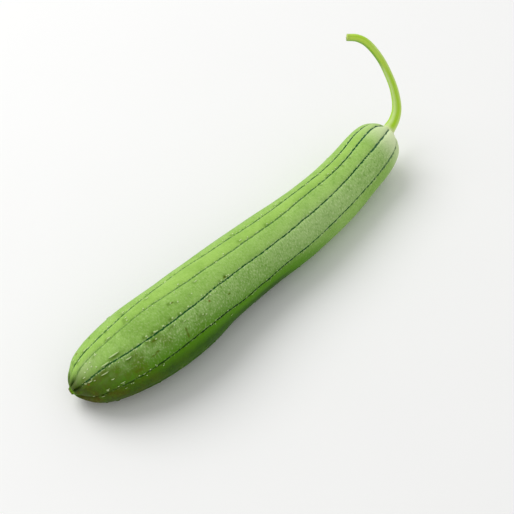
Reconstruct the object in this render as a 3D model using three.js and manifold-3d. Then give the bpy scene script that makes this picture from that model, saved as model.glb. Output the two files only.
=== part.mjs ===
import * as THREE from 'three'
import { mergeVertices } from 'three/addons/utils/BufferGeometryUtils.js'
import Module from 'manifold-3d'

// A ridge gourd as picked, lying on its side. Millimetres, +Z up, +X from the blossom end to the stem
// end. The origin is on the surface that it lies on, under the middle of its bounding box.

// The middle of the fruit, from the blossom nub to the seat of the stem. It bows towards -Y, and both
// ends lift a little off the surface.
const MIDLINE = [
  [-171.3, 2.2, 11.3],
  [-131.4, -11.3, 25.6],
  [-90.4, -16.3, 27.9],
  [-49.4, -14.4, 25.9],
  [-8.4, -14.5, 24.2],
  [32.6, -16.7, 23.7],
  [73.6, -14.9, 22.0],
  [114.6, -9.6, 22.8],
  [148.6, -5.6, 28.7],
]

// The fruit's radius, as [distance along the middle, radius]: the nub, the blunt blossom end, the
// thick belly, the long taper and the shoulder that turns in to the stem.
const FRUIT_PROFILE = [
  [0, 2.3],
  [1.3, 3.0],
  [2.8, 6.2],
  [6.9, 10.8],
  [14.8, 18.2],
  [27.6, 23.2],
  [45.4, 26.7],
  [67.1, 28.4],
  [92.8, 28.4],
  [124.3, 26.5],
  [161.8, 25.0],
  [203.3, 24.3],
  [244.7, 22.4],
  [280.2, 21.2],
  [302, 20.9],
  [313.8, 18.4],
  [320.7, 13.2],
  [324.6, 7.8],
  [326.2, 5.2],
]
const RINGS_PER_SPAN = 4

// The ten furrows, as angles round the fruit in degrees, counted from the top towards +Y.
const FURROW_ANGLES = [-182, -147, -111, -72, -30, 3, 26, 66, 104, 141]
// How far the furrows turn round the fruit together, in degrees, at even steps from nub to stem.
const FURROW_TWIST = [-10, -4, 2.5, 3, -3, -3.5, -1.5, 2.5, 4.5, 5.5, 6]
// Where one furrow sways aside on its own, by so many degrees.
const FURROW_SWAYS = [
  { furrow: 6, at: 25, reach: 25, by: -6 },
  { furrow: 6, at: 110, reach: 35, by: 5 },
  { furrow: 6, at: 147, reach: 14, by: 2 },
  { furrow: 6, at: 255, reach: 25, by: -1.8 },
  { furrow: 6, at: 299, reach: 12, by: 3 },
  { furrow: 6, at: 323, reach: 4.5, by: -30 },
  { furrow: 5, at: 8, reach: 12, by: -3 },
  { furrow: 5, at: 60, reach: 20, by: 2.5 },
  { furrow: 5, at: 103, reach: 12, by: -2.5 },
  { furrow: 5, at: 185, reach: 22, by: -1.8 },
  { furrow: 5, at: 262, reach: 20, by: -2 },
  { furrow: 5, at: 322, reach: 4, by: -6 },
  { furrow: 4, at: 28, reach: 13, by: 3 },
  { furrow: 4, at: 68, reach: 20, by: -3 },
  { furrow: 4, at: 96, reach: 14, by: -2.5 },
  { furrow: 4, at: 140, reach: 14, by: 1.5 },
  { furrow: 4, at: 203, reach: 10, by: 1.5 },
  { furrow: 4, at: 275, reach: 30, by: 1.2 },
  { furrow: 3, at: 27, reach: 10, by: 2.5 },
  { furrow: 3, at: 82, reach: 12, by: 1.3 },
  { furrow: 3, at: 124, reach: 12, by: -1.5 },
  { furrow: 3, at: 148, reach: 25, by: -4 },
  { furrow: 3, at: 147, reach: 10, by: 2 },
  { furrow: 3, at: 282, reach: 16, by: -2.8 },
]
const FURROW_DEPTH = 0.4
const FURROW_HALF_WIDTH = 1.3
const STRIP_HEIGHT = 0.3
// Places of the points between one furrow and the next, as shares of the strip's width.
const STRIP_POINTS = [0, 0.12, 0.37, 0.63, 0.88]
// The furrows deepen, and the strips rise into folds, at the two ends.
const BLOSSOM_FOLD = { at: 9, reach: 7, gain: 2.2 }
const SHOULDER_FOLD = { at: 322, reach: 12, gain: 1.0 }
// The relief fades out where the fruit is thinner than this radius.
const RELIEF_FADE_RADIUS = 9

// Tubercles: small raised streaks that stand beside the furrows and thin out from the blossom end.
const TUBERCLE_COUNT = 56
const TUBERCLE_START = 14
const TUBERCLE_REACH = 150
const TUBERCLE_SPREAD = 4.5
const TUBERCLE_LENGTH = [1.8, 3.8]
const TUBERCLE_WIDTH = 1.2
const TUBERCLE_RISE = 0.4
const TUBERCLE_ROOT = 0.6
// Even sequences that never repeat, from the golden ratio and the plastic number.
const SPREAD_STEP = 0.618034
const REACH_STEP = 0.754878
const LENGTH_STEP = 0.56984
// The longest tubercles, as [distance along the middle, degrees round the fruit, length].
const LONG_TUBERCLES = [
  [18, -39, 4.5],
  [28.5, -40, 6.5],
  [31.5, -28, 6.8],
  [38, -23, 9],
  [43, -38.5, 5],
  [30.5, -54, 3],
  [34, -67, 4],
  [19, -80, 3],
]

// The stem leaves the shoulder along the fruit, then bends up and back. Its first two points come from
// the seat, and these are the rest.
const STEM_GAP = 0.3
const STEM_ROOT_LENGTH = 3
const STEM_ROUTE = [
  [158.8, -4.2, 33.1],
  [164.7, -1.0, 40.1],
  [168.3, 5.7, 51.5],
  [169.0, 13.7, 63.3],
  [167.9, 21.9, 74.5],
  [164.9, 31.2, 84.1],
  [160.6, 38.0, 88.5],
  [154.2, 43.6, 90.1],
]
// The stem's radius, as [share of its length, radius]: flared at the fruit, pinched before the cut.
const STEM_PROFILE = [
  [0, 5.4],
  [0.02, 5],
  [0.08, 4.4],
  [0.2, 3.7],
  [0.4, 3.1],
  [0.65, 2.85],
  [0.85, 2.9],
  [0.95, 2.7],
  [1, 2.65],
]
const STEM_RINGS_PER_SPAN = 4
const STEM_SIDES = 20
const STEM_RIDGES = 5
const STEM_RIDGE_SHARE = 0.06
const STEM_RIDGE_TURN = 0.9
const STEM_RIDGE_START = 0.15

// The surface that the gourd lies on takes off a flat spot.
const FLOOR_THICKNESS = 20
const FLOOR_SIZE = 500

const FRUIT_COLOUR = 0x97bd62
const STEM_COLOUR = 0xa6cc47
const SKIN_ROUGHNESS = 0.6

const TOP = new THREE.Vector3(0, 0, 1)

function curveThrough(points) {
  const knots = points.map((point) => new THREE.Vector3(point[0], point[1], point[2] ?? 0))
  return new THREE.CatmullRomCurve3(knots, false, 'catmullrom', 0.5)
}

const midline = curveThrough(MIDLINE)
const fruitLength = FRUIT_PROFILE[FRUIT_PROFILE.length - 1][0]
const fruitProfile = curveThrough(FRUIT_PROFILE)
const twistCurve = curveThrough(FURROW_TWIST.map((degrees) => [degrees, 0]))

// Stations along a profile, as { along, radius }.
function stationsOf(profile, count) {
  return profile.getPoints(count).map((point) => ({ along: point.x, radius: point.y }))
}

function radiusAt(stations, along) {
  const next = Math.max(1, stations.findIndex((station) => station.along >= along))
  const [before, after] = [stations[next - 1], stations[next]]
  const share = (along - before.along) / (after.along - before.along)
  return THREE.MathUtils.lerp(before.radius, after.radius, share)
}

// Where a station's centre is, and the directions along the fruit, to the top and to the side.
function fruitFrame(along) {
  const share = THREE.MathUtils.clamp(along / fruitLength, 0, 1)
  const centre = midline.getPointAt(share)
  const tangent = midline.getTangentAt(share)
  const side = new THREE.Vector3().crossVectors(TOP, tangent).normalize()
  const top = new THREE.Vector3().crossVectors(tangent, side)
  return { centre, tangent, side, top }
}

function aroundPoint(frame, angle, radius) {
  return frame.centre
    .clone()
    .addScaledVector(frame.top, Math.cos(angle) * radius)
    .addScaledVector(frame.side, Math.sin(angle) * radius)
}

// The angle of one furrow in degrees, where furrow 10 is furrow 0 a full turn on.
function furrowDegrees(furrow, along) {
  const count = FURROW_ANGLES.length
  const number = furrow % count
  const turns = Math.floor(furrow / count)
  const twist = twistCurve.getPoint(THREE.MathUtils.clamp(along / fruitLength, 0, 1)).x
  const sway = FURROW_SWAYS.filter((one) => one.furrow === number)
    .map((one) => one.by * bell(along, one.at, one.reach))
    .reduce((sum, value) => sum + value, 0)
  return FURROW_ANGLES[number] + 360 * turns + twist + sway
}

function bell(along, at, reach) {
  return Math.exp(-(((along - at) / reach) ** 2))
}

// Height of the skin over the plain radius: domed strips with a furrow at each edge.
function reliefAt(along, radius, share, width) {
  const folds = [BLOSSOM_FOLD, SHOULDER_FOLD].map((fold) => fold.gain * bell(along, fold.at, fold.reach))
  const strength = 1 + folds[0] + folds[1]
  const fade = THREE.MathUtils.smoothstep(radius, 0, RELIEF_FADE_RADIUS)
  const toFurrow = radius * width * Math.min(share, 1 - share)
  const furrow = FURROW_DEPTH * Math.exp(-((toFurrow / FURROW_HALF_WIDTH) ** 2))
  return (STRIP_HEIGHT * Math.sin(Math.PI * share) - furrow) * strength * fade
}

// A closed skin through rings of equal count, with a middle point at each end.
function skinThrough(rings, startPoint, endPoint) {
  const sides = rings[0].length
  const points = [startPoint, ...rings.flat(), endPoint]
  const at = (ring, side) => 1 + ring * sides + (side % sides)
  const last = rings.length - 1
  const index = []
  for (let side = 0; side < sides; side += 1) {
    index.push(0, at(0, side), at(0, side + 1))
    for (let ring = 0; ring < last; ring += 1) {
      index.push(at(ring, side), at(ring + 1, side), at(ring + 1, side + 1))
      index.push(at(ring, side), at(ring + 1, side + 1), at(ring, side + 1))
    }
    index.push(points.length - 1, at(last, side + 1), at(last, side))
  }
  const geometry = new THREE.BufferGeometry().setFromPoints(points)
  geometry.setIndex(index)
  return geometry
}

function fruitSkin(stations) {
  const rings = stations.map(({ along, radius }) => {
    const frame = fruitFrame(along)
    const ring = []
    for (let strip = 0; strip < FURROW_ANGLES.length; strip += 1) {
      const from = THREE.MathUtils.degToRad(furrowDegrees(strip, along))
      const width = THREE.MathUtils.degToRad(furrowDegrees(strip + 1, along)) - from
      for (const share of STRIP_POINTS) {
        const height = reliefAt(along, radius, share, width)
        ring.push(aroundPoint(frame, from + width * share, radius + height))
      }
    }
    return ring
  })
  return skinThrough(rings, fruitFrame(0).centre, fruitFrame(fruitLength).centre)
}

// Places of all the tubercles, as [distance along the middle, degrees round the fruit, length].
function tuberclePlaces(stations) {
  const places = [...LONG_TUBERCLES]
  for (let number = 1; number <= TUBERCLE_COUNT; number += 1) {
    const spread = 2 * ((number * SPREAD_STEP) % 1) - 1
    const reach = (number * REACH_STEP) % 1
    const along = TUBERCLE_START + TUBERCLE_REACH * reach ** 2
    const fromFurrow = (TUBERCLE_SPREAD * spread) / radiusAt(stations, along)
    const degrees = furrowDegrees(number, along) + THREE.MathUtils.radToDeg(fromFurrow)
    const size = (number * LENGTH_STEP) % 1
    places.push([along, degrees, THREE.MathUtils.lerp(...TUBERCLE_LENGTH, size)])
  }
  return places
}

// One tubercle: a faceted grain, longer along the fruit, with its root sunk in the skin.
function tubercle(stations, [along, degrees, length]) {
  const angle = THREE.MathUtils.degToRad(degrees)
  const surface = aroundPoint(fruitFrame(along), angle, radiusAt(stations, along))
  const ahead = along + length / 2
  const forward = aroundPoint(fruitFrame(ahead), angle, radiusAt(stations, ahead)).sub(surface)
  const outward = surface.clone().sub(fruitFrame(along).centre).normalize()
  const across = new THREE.Vector3().crossVectors(outward, forward).normalize()
  const lengthwise = forward.clone().normalize()
  const upward = new THREE.Vector3().crossVectors(lengthwise, across)
  const height = (TUBERCLE_RISE + TUBERCLE_ROOT) / 2
  const grain = new THREE.IcosahedronGeometry(1, 0)
  grain.scale(length / 2, TUBERCLE_WIDTH / 2, height)
  grain.applyMatrix4(new THREE.Matrix4().makeBasis(lengthwise, across, upward))
  const middle = surface.addScaledVector(upward, TUBERCLE_RISE - height)
  grain.translate(middle.x, middle.y, middle.z)
  return grain
}

function floorBlock() {
  const block = new THREE.BoxGeometry(FLOOR_SIZE, FLOOR_SIZE, FLOOR_THICKNESS)
  block.translate(0, 0, -FLOOR_THICKNESS / 2)
  return block
}

// Directions across the stem at each ring, carried along it without turning about it.
function stemFrames(route, shares) {
  let top = TOP.clone()
  return shares.map((share) => {
    const tangent = route.getTangentAt(share)
    top = top.clone().addScaledVector(tangent, -top.dot(tangent)).normalize()
    const side = new THREE.Vector3().crossVectors(top, tangent).normalize()
    return { centre: route.getPointAt(share), tangent, side, top }
  })
}

function stemSkin() {
  const seat = fruitFrame(fruitLength)
  const root = seat.centre.clone().addScaledVector(seat.tangent, STEM_GAP)
  const rootEnd = root.clone().addScaledVector(seat.tangent, STEM_ROOT_LENGTH)
  const route = curveThrough([root.toArray(), rootEnd.toArray(), ...STEM_ROUTE])
  const ringCount = STEM_RINGS_PER_SPAN * (STEM_PROFILE.length - 1)
  const stations = stationsOf(curveThrough(STEM_PROFILE), ringCount)
  const shares = stations.map((station) => Math.min(station.along, 1))
  const frames = stemFrames(route, shares)
  const rings = stations.map(({ along, radius }, ring) => {
    const ridge = STEM_RIDGE_SHARE * THREE.MathUtils.smoothstep(along, 0, STEM_RIDGE_START)
    return Array.from({ length: STEM_SIDES }, (_, side) => {
      const angle = (2 * Math.PI * side) / STEM_SIDES
      const wave = Math.cos(STEM_RIDGES * angle + STEM_RIDGE_TURN * along)
      return aroundPoint(frames[ring], angle, radius * (1 + ridge * wave))
    })
  })
  return skinThrough(rings, frames[0].centre, frames[frames.length - 1].centre)
}

const wasm = await Module()
wasm.setup()

function solidOf(geometry) {
  const plain = geometry.clone()
  plain.deleteAttribute('normal')
  plain.deleteAttribute('uv')
  const merged = mergeVertices(plain)
  const mesh = new wasm.Mesh({
    numProp: 3,
    vertProperties: Float32Array.from(merged.attributes.position.array),
    triVerts: Uint32Array.from(merged.index.array),
  })
  return new wasm.Manifold(mesh)
}

function geometryOf(solid) {
  const mesh = solid.getMesh()
  const geometry = new THREE.BufferGeometry()
  geometry.setAttribute('position', new THREE.BufferAttribute(mesh.vertProperties, 3))
  geometry.setIndex(new THREE.BufferAttribute(mesh.triVerts, 1))
  geometry.computeVertexNormals()
  return geometry
}

function fruit() {
  const stations = stationsOf(fruitProfile, RINGS_PER_SPAN * (FRUIT_PROFILE.length - 1))
  let solid = solidOf(fruitSkin(stations))
  for (const place of tuberclePlaces(stations)) {
    solid = solid.add(solidOf(tubercle(stations, place)))
  }
  solid = solid.subtract(solidOf(floorBlock()))
  const material = new THREE.MeshStandardMaterial({
    color: FRUIT_COLOUR,
    roughness: SKIN_ROUGHNESS,
    metalness: 0,
  })
  const mesh = new THREE.Mesh(geometryOf(solid), material)
  mesh.name = 'fruit'
  return mesh
}

function stem() {
  const geometry = stemSkin()
  geometry.computeVertexNormals()
  const material = new THREE.MeshStandardMaterial({
    color: STEM_COLOUR,
    roughness: SKIN_ROUGHNESS,
    metalness: 0,
  })
  const mesh = new THREE.Mesh(geometry, material)
  mesh.name = 'stem'
  return mesh
}

const gourd = new THREE.Group()
gourd.add(fruit(), stem())

export default gourd
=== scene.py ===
import math

import bmesh
import bpy
import numpy as np
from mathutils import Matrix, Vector


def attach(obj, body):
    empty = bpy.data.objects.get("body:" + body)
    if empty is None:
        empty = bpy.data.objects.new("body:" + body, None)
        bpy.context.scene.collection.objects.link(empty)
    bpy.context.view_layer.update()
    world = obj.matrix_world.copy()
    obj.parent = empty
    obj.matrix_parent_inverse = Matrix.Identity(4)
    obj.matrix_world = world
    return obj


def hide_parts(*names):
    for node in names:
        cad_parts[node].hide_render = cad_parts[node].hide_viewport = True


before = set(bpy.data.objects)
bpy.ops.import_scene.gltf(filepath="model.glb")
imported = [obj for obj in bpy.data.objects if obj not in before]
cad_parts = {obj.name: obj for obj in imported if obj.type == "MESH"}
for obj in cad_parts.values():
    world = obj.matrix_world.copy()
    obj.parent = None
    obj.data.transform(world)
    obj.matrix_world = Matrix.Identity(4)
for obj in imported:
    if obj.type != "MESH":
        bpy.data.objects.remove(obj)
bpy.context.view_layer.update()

# A ridge gourd as picked. Lengths are in millimetres until a mesh is made, in the frame of the packed
# model: +Z up, +X from the blossom end to the stem end.
MM = 0.001

# The shape, as in the model: the middle of the fruit, and its radius as [distance along, radius].
MIDLINE = [
    [-171.3, 2.2, 11.3],
    [-131.4, -11.3, 25.6],
    [-90.4, -16.3, 27.9],
    [-49.4, -14.4, 25.9],
    [-8.4, -14.5, 24.2],
    [32.6, -16.7, 23.7],
    [73.6, -14.9, 22.0],
    [114.6, -9.6, 22.8],
    [148.6, -5.6, 28.7],
]
FRUIT_PROFILE = [
    [0, 2.3],
    [1.3, 3.0],
    [2.8, 6.2],
    [6.9, 10.8],
    [14.8, 18.2],
    [27.6, 23.2],
    [45.4, 26.7],
    [67.1, 28.4],
    [92.8, 28.4],
    [124.3, 26.5],
    [161.8, 25.0],
    [203.3, 24.3],
    [244.7, 22.4],
    [280.2, 21.2],
    [302, 20.9],
    [313.8, 18.4],
    [320.7, 13.2],
    [324.6, 7.8],
    [326.2, 5.2],
]
FRUIT_LENGTH = FRUIT_PROFILE[-1][0]

# The ten furrows in degrees from the top towards +Y, their common turn, and where one sways aside.
FURROW_ANGLES = [-182, -147, -111, -72, -30, 3, 26, 66, 104, 141]
STRIPS = len(FURROW_ANGLES)
FURROW_TWIST = [-10, -4, 2.5, 3, -3, -3.5, -1.5, 2.5, 4.5, 5.5, 6]
FURROW_SWAYS = [
    {"furrow": 6, "at": 25, "reach": 25, "by": -6},
    {"furrow": 6, "at": 110, "reach": 35, "by": 5},
    {"furrow": 6, "at": 147, "reach": 14, "by": 2},
    {"furrow": 6, "at": 255, "reach": 25, "by": -1.8},
    {"furrow": 6, "at": 299, "reach": 12, "by": 3},
    {"furrow": 6, "at": 323, "reach": 4.5, "by": -30},
    {"furrow": 5, "at": 8, "reach": 12, "by": -3},
    {"furrow": 5, "at": 60, "reach": 20, "by": 2.5},
    {"furrow": 5, "at": 103, "reach": 12, "by": -2.5},
    {"furrow": 5, "at": 185, "reach": 22, "by": -1.8},
    {"furrow": 5, "at": 262, "reach": 20, "by": -2},
    {"furrow": 5, "at": 322, "reach": 4, "by": -6},
    {"furrow": 4, "at": 28, "reach": 13, "by": 3},
    {"furrow": 4, "at": 68, "reach": 20, "by": -3},
    {"furrow": 4, "at": 96, "reach": 14, "by": -2.5},
    {"furrow": 4, "at": 140, "reach": 14, "by": 1.5},
    {"furrow": 4, "at": 203, "reach": 10, "by": 1.5},
    {"furrow": 4, "at": 275, "reach": 30, "by": 1.2},
    {"furrow": 3, "at": 27, "reach": 10, "by": 2.5},
    {"furrow": 3, "at": 82, "reach": 12, "by": 1.3},
    {"furrow": 3, "at": 124, "reach": 12, "by": -1.5},
    {"furrow": 3, "at": 148, "reach": 25, "by": -4},
    {"furrow": 3, "at": 147, "reach": 10, "by": 2},
    {"furrow": 3, "at": 282, "reach": 16, "by": -2.8},
]
FURROW_DEPTH = 0.4
FURROW_HALF_WIDTH = 1.3
GROOVE_DEPTH = 0.22
GROOVE_HALF_WIDTH = 0.6
STRIP_HEIGHT = 0.3
BLOSSOM_FOLD = {"at": 9, "reach": 7, "gain": 2.2}
SHOULDER_FOLD = {"at": 322, "reach": 12, "gain": 1.0}
RELIEF_FADE_RADIUS = 9
# Creases round the blossom nub: two sets of them, with their counts and shares, and how far along
# the fruit each set takes to lean aside by a radian.
FOLD_AT = 5
FOLD_REACH = 4.5
FOLD_HEIGHT = 1.0
FOLD_COUNTS = [9, 15]
FOLD_SHARES = [0.65, 0.35]
FOLD_LEANS = [6, 4]
# Three sets of slow waves: their heights, and how far along the fruit each takes for a radian. The
# first two also drift round it, by a radian in so much of its length.
WAVE_HEIGHTS = [0.12, 0.07, 0.14]
WAVE_LENGTHS = [9.3, 5.1, 17.0]
WAVE_DRIFTS = [31, 23]

# The fine mesh of the skin. Its rings crowd at the ends, as [distance along, reach, how much].
FRUIT_RINGS = 408
RING_CROWDING = [
    [0, 25, 1.2],
    [FRUIT_LENGTH, 12, 0.8],
]
COLUMNS_PER_STRIP = 24
COLUMN_CROWDING = 0.5
# How finely the curves are sampled, and the step along the fruit that shows its slope.
LENGTH_SAMPLES = 4001
PROFILE_SAMPLES = 2001
STEM_PROFILE_SAMPLES = 1001
SLOPE_STEP = 1.0

# Tubercles, at the same places as in the model.
TUBERCLE_COUNT = 56
TUBERCLE_START = 14
TUBERCLE_REACH = 150
TUBERCLE_SPREAD = 4.5
TUBERCLE_LENGTH = [1.8, 3.8]
TUBERCLE_WIDTH = 1.0
TUBERCLE_RISE = 0.48
LONG_WIDTH = 1.2
LONG_RISE = 0.6
LONG_SHADOW = 0.9
TUBERCLE_ROOT = 0.6
TUBERCLE_SUBDIVISIONS = 3
TUBERCLE_SHADOW = 0.5
# A tubercle's top and upper side are painted pale as a highlight; across itself it fades between these
# shares of its width.
HIGHLIGHT_SIDE = [-0.3, 0.15]
LOWEST_TUBERCLE = 2.0
SPREAD_STEP = 0.618034
REACH_STEP = 0.754878
LENGTH_STEP = 0.56984
LONG_TUBERCLES = [
    [18, -39, 4.5],
    [28.5, -40, 6.5],
    [31.5, -28, 6.8],
    [38, -23, 9],
    [43, -38.5, 5],
    [30.5, -54, 3],
    [34, -67, 4],
    [19, -80, 3],
]

# Papillae: pale dots, their tops a painted highlight, as [distance along, degrees round the fruit,
# length, painted shadow behind it].
PAPILLAE = [
    [29.5, -4, 1.5, 0],
    [24.5, -11, 1.4, 0],
    [24, -18.5, 1.6, 0],
    [26.5, -23.5, 1.5, 0],
    [21, -18, 1.6, 0],
    [18.5, -19.5, 1.5, 0],
    [22, -7.5, 1.2, 0],
    [75, -25.5, 1.6, 0.9],
    [67.5, -27, 2.0, 0.3],
    [61.5, -27, 2.0, 0.5],
    [56.5, -26, 2.0, 0.8],
    [60, -36, 1.8, 1.0],
    [73.5, -34.5, 1.4, 0.8],
    [80.5, -7.5, 1.2, 0.9],
    [85, -12, 1.5, 0.5],
    [88, -25.5, 1.8, 0.3],
    [89.5, -31.5, 1.5, 0],
    [104.5, -32.5, 1.8, 0.7],
    [92.5, -46, 1.5, 0.6],
    [94.5, -49, 1.5, 0.6],
    [110.5, -69, 1.6, 0],
    [94.5, -66, 1.5, 0],
    [98.5, -66, 1.3, 0],
    [125, -27, 1.0, 1.0],
    [95, -15, 1.2, 0.3],
    [94.5, 9, 1.8, 0],
    [137, 3.5, 1.6, 0],
    [43, -69.5, 1.4, 0],
    [46.5, -76, 1.3, 0],
    [49.5, -69.5, 1.5, 0],
    [53.5, -70, 1.4, 0],
    [57, -75, 1.3, 0],
    [38.5, -77, 1.3, 0],
    [24, -69, 2.0, 0.3],
]
# More of them are scattered beside every furrow, crowded towards the blossom end by a power.
DOTS_PER_FURROW = 17
DOT_START = 30
DOT_REACH = 250
DOT_OFFSET = [0.9, 2.2]
DOT_LENGTH = [0.9, 1.9]
DOT_CROWDING = 1.3
DOT_WIDTH = 1.55
DOT_NARROWEST = 0.7
DOT_SHADOWS = [0, 0, 0.5]
# A painted shadow lies on the blossom side of a short grain, and below one of at least LONG_TUBERCLE.
SHADOW_BEHIND = 1.7
SHADOW_RADIUS = 1.25
SHADOW_REACHES = 3
LONG_TUBERCLE = 4
LONG_SHADOW_BELOW = 1.3
LONG_SHADOW_SHARE = 0.5
RANDOM_SEED = 11

# The stem: its first two points come from the fruit's end.
STEM_SINK = 1.2
STEM_ROOT_LENGTH = 3
STEM_ROUTE = [
    [158.8, -4.2, 33.1],
    [164.7, -1.0, 40.1],
    [168.3, 5.7, 51.5],
    [169.0, 13.7, 63.3],
    [167.9, 21.9, 74.5],
    [164.9, 31.2, 84.1],
    [160.6, 38.0, 88.5],
    [154.2, 43.6, 90.1],
]
STEM_PROFILE = [
    [0, 5.4],
    [0.02, 5.0],
    [0.08, 4.4],
    [0.2, 3.7],
    [0.4, 3.1],
    [0.65, 2.85],
    [0.85, 2.9],
    [0.95, 2.7],
    [1, 2.65],
]
STEM_RINGS = 220
STEM_SIDES = 80
STEM_RIDGES = 5
STEM_RIDGE_SHARE = 0.06
STEM_RIDGE_TURN = 0.9
STEM_RIDGE_START = 0.15

# The photograph's camera. Its distance is in metres.
CAMERA_TARGET = Vector((-9.86, -17.9, 27.5)) * MM
CAMERA_AZIMUTH = -46.9
CAMERA_ELEVATION = 50
CAMERA_DISTANCE = 1.0
CAMERA_LENS = 98.96
CAMERA_SENSOR = 36

# Warmth turns the skin yellow and bloom greys it, strip by strip.
STRIP_WARMTH = [0.2, 0.1, 0.1, 0.2, 0.55, 1.0, 0.6, 0.4, 0.3, 0.3]
STRIP_BLOOM = [0.2, 0.2, 0.25, 0.95, 0.35, 0.05, 0.15, 0.3, 0.35, 0.25]
STRIP_BLEND = 0.12
BLOOM_START = [0, 45]
# Deep green, partly the skin's own colour and partly painted shade on its lower side, as [furrow number,
# how much]. It lessens towards the shoulder.
DEEP_GREEN_AND_SHADE_AROUND = [
    [0, 1.0],
    [2, 1.0],
    [2.4, 0.92],
    [2.65, 0.72],
    [3, 0.45],
    [3.3, 0.22],
    [3.7, 0.1],
    [4.3, 0.06],
    [5.2, 0.0],
    [6.2, 0.0],
    [6.7, 0.2],
    [7.5, 0.4],
    [8.5, 0.75],
    [10, 1.0],
]
DEPTH_END = [155, 245]
DEPTH_AT_SHOULDER = 0.15
# Towards the blossom end this deep green and painted shade climbs higher round the fruit, by so many
# strips.
DEPTH_CLIMB = 0.3
DEPTH_CLIMB_END = [25, 190]
DEPTH_CLIMB_STRIP = 3.6
DEPTH_CLIMB_STRIPS = 1.4
# The blossom end is olive: how far that reaches, strip by strip.
OLIVE_REACH = [40, 46, 50, 38, 17, 7, 6, 12, 22, 32]
# Patches, as [distance along, reach, place among the strips, reach there, strength].
PALE_PATCHES = [
    [20, 9, 4.75, 0.45, 0.2],
    [212, 38, 3.65, 0.75, 0.12],
]
DEEP_PATCH = [72, 22, 4.35, 0.5, 0.14]
# The shoulder is pale, strip by strip: partly paler skin and partly a painted highlight.
STRIP_PALE = [0.6, 0.7, 0.8, 1.0, 0.75, 0.35, 0.12, 0.12, 0.3, 0.5]
PALE_START = [292, 322]
# How dark the furrow lines are, at even steps from the blossom end to the shoulder. A furrow with no
# row of its own has the first one.
LINE_STRENGTH = [0.4, 0.6, 0.8, 0.75, 0.8, 0.9, 0.7]
LINE_STRENGTHS = {
    3: [0.15, 0.85, 1.0, 1.0, 0.95, 0.9, 0.6],
    4: [0.85, 1.0, 1.0, 1.0, 0.95, 1.0, 0.9],
    5: [0.45, 0.4, 0.7, 0.7, 0.8, 1.0, 1.0],
    6: [0.9, 0.75, 0.65, 0.7, 0.8, 1.0, 1.0],
}
LINE_HALF_WIDTHS = [0.55, 0.55, 0.55, 0.6, 0.54, 0.56, 0.7, 0.6, 0.55, 0.55]
LINE_START = [9, 15]
LINE_END = [323, 326]
LINE_SHOULDER = [260, 295]
LINE_SHOULDER_GAIN = 0.35
LINE_TAPER = [300, 325]
LINE_TAPER_SHARE = 0.3

# Colours


def linear(red, green, blue):
    """A colour given as 0 to 255 on screen, as the renderer wants it."""
    def channel(value):
        value = value / 255
        return value / 12.92 if value <= 0.04045 else ((value + 0.055) / 1.055) ** 2.4

    return (channel(red), channel(green), channel(blue), 1.0)


YELLOW_GREEN = linear(167, 208, 99)
MID_GREEN = linear(160, 204, 96)
BLOOM_GREEN = linear(166, 202, 120)
DEEP_GREEN = linear(84, 138, 8)
# Painted shade: the darkest green, along the fruit's lower edge.
SHADE_DARKEST_GREEN = linear(40, 78, 1)
BLOTCH_GREEN = linear(92, 124, 20)
OLIVE = linear(60, 73, 1)
OLIVE_BROWN = linear(74, 64, 2)
# Painted shadow beside the tubercles and papillae.
SHADOW_GREEN = linear(74, 110, 5)
LINE_GREEN = linear(18, 86, 36)
LINE_BLUISH = linear(36, 92, 66)
LINE_DARK = linear(6, 46, 10)
PALE_GREEN = linear(214, 230, 176)
SHOULDER_PALE_AND_HIGHLIGHT = linear(232, 246, 196)
# Painted shade in the creases round the blossom nub.
FOLD_SHADE_GREEN = linear(36, 62, 3)
NUB_GREEN = linear(104, 146, 26)
NUB_BROWN = linear(134, 96, 44)

# Marks of the skin, as [colour, distance along, degrees round, half-length, half-width].
MARK_OLIVE = linear(86, 104, 10)
MARK_BROWN = linear(116, 92, 26)
MARKS = [
    [MARK_OLIVE, 57.2, -52, 1.5, 0.8],
    [MARK_OLIVE, 54.5, -54, 2.2, 0.5],
    [MARK_OLIVE, 58.5, -37, 1.8, 0.7],
    [MARK_OLIVE, 78.4, -49, 0.8, 2.0],
    [MARK_OLIVE, 78, -57, 0.9, 2.6],
    [MARK_BROWN, 101, -38.5, 0.9, 0.9],
    [MARK_BROWN, 16, -43, 1.0, 0.8],
    [MARK_BROWN, 18.5, 30, 1.2, 1.0],
    [MARK_OLIVE, 31, 35, 0.9, 0.9],
    [MARK_OLIVE, 81.5, -8.5, 1.5, 0.7],
    [MARK_OLIVE, 123, -27.5, 1.8, 0.8],
    [MARK_OLIVE, 117.5, -50.5, 1.5, 0.7],
    [MARK_OLIVE, 44, -62, 2.5, 1.2],
    [MARK_BROWN, 70, -118, 2.0, 0.6],
    [MARK_OLIVE, 150, 88, 1.6, 0.7],
    [MARK_BROWN, 205, 128, 1.4, 0.8],
    [MARK_OLIVE, 96, 160, 2.2, 0.5],
]

STEM_GREEN = linear(172, 216, 42)
STEM_YELLOW = linear(190, 222, 78)
STEM_PALE = linear(196, 222, 136)
STEM_DEEP = linear(118, 166, 14)
STEM_EDGE_HIGHLIGHT = linear(214, 240, 132)
STEM_RIM = linear(176, 186, 104)
COLLAR = linear(222, 228, 176)
# Stripes along the stem: colour, where round it as a share of a turn, half-width, and the shares of
# the stem's length where it starts and ends.
STEM_STRIPES = [
    [STEM_DEEP, 0.09, 0.09, 0.5, 1.2],
    # A painted highlight: a pale stripe down one side of the stem.
    [STEM_PALE, 0.035, 0.075, -0.2, 0.66],
    [STEM_YELLOW, 0.92, 0.07, 0.5, 1.2],
    # A painted highlight: a pale stripe down the stem's edge that faces away from the key light.
    [STEM_EDGE_HIGHLIGHT, 0.755, 0.09, -0.2, 0.88],
    [STEM_PALE, 0.5, 0.06, 0.1, 0.8],
    [STEM_DEEP, 0.33, 0.08, -0.2, 1.2],
]
STRIPE_FADE = 0.12

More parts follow.
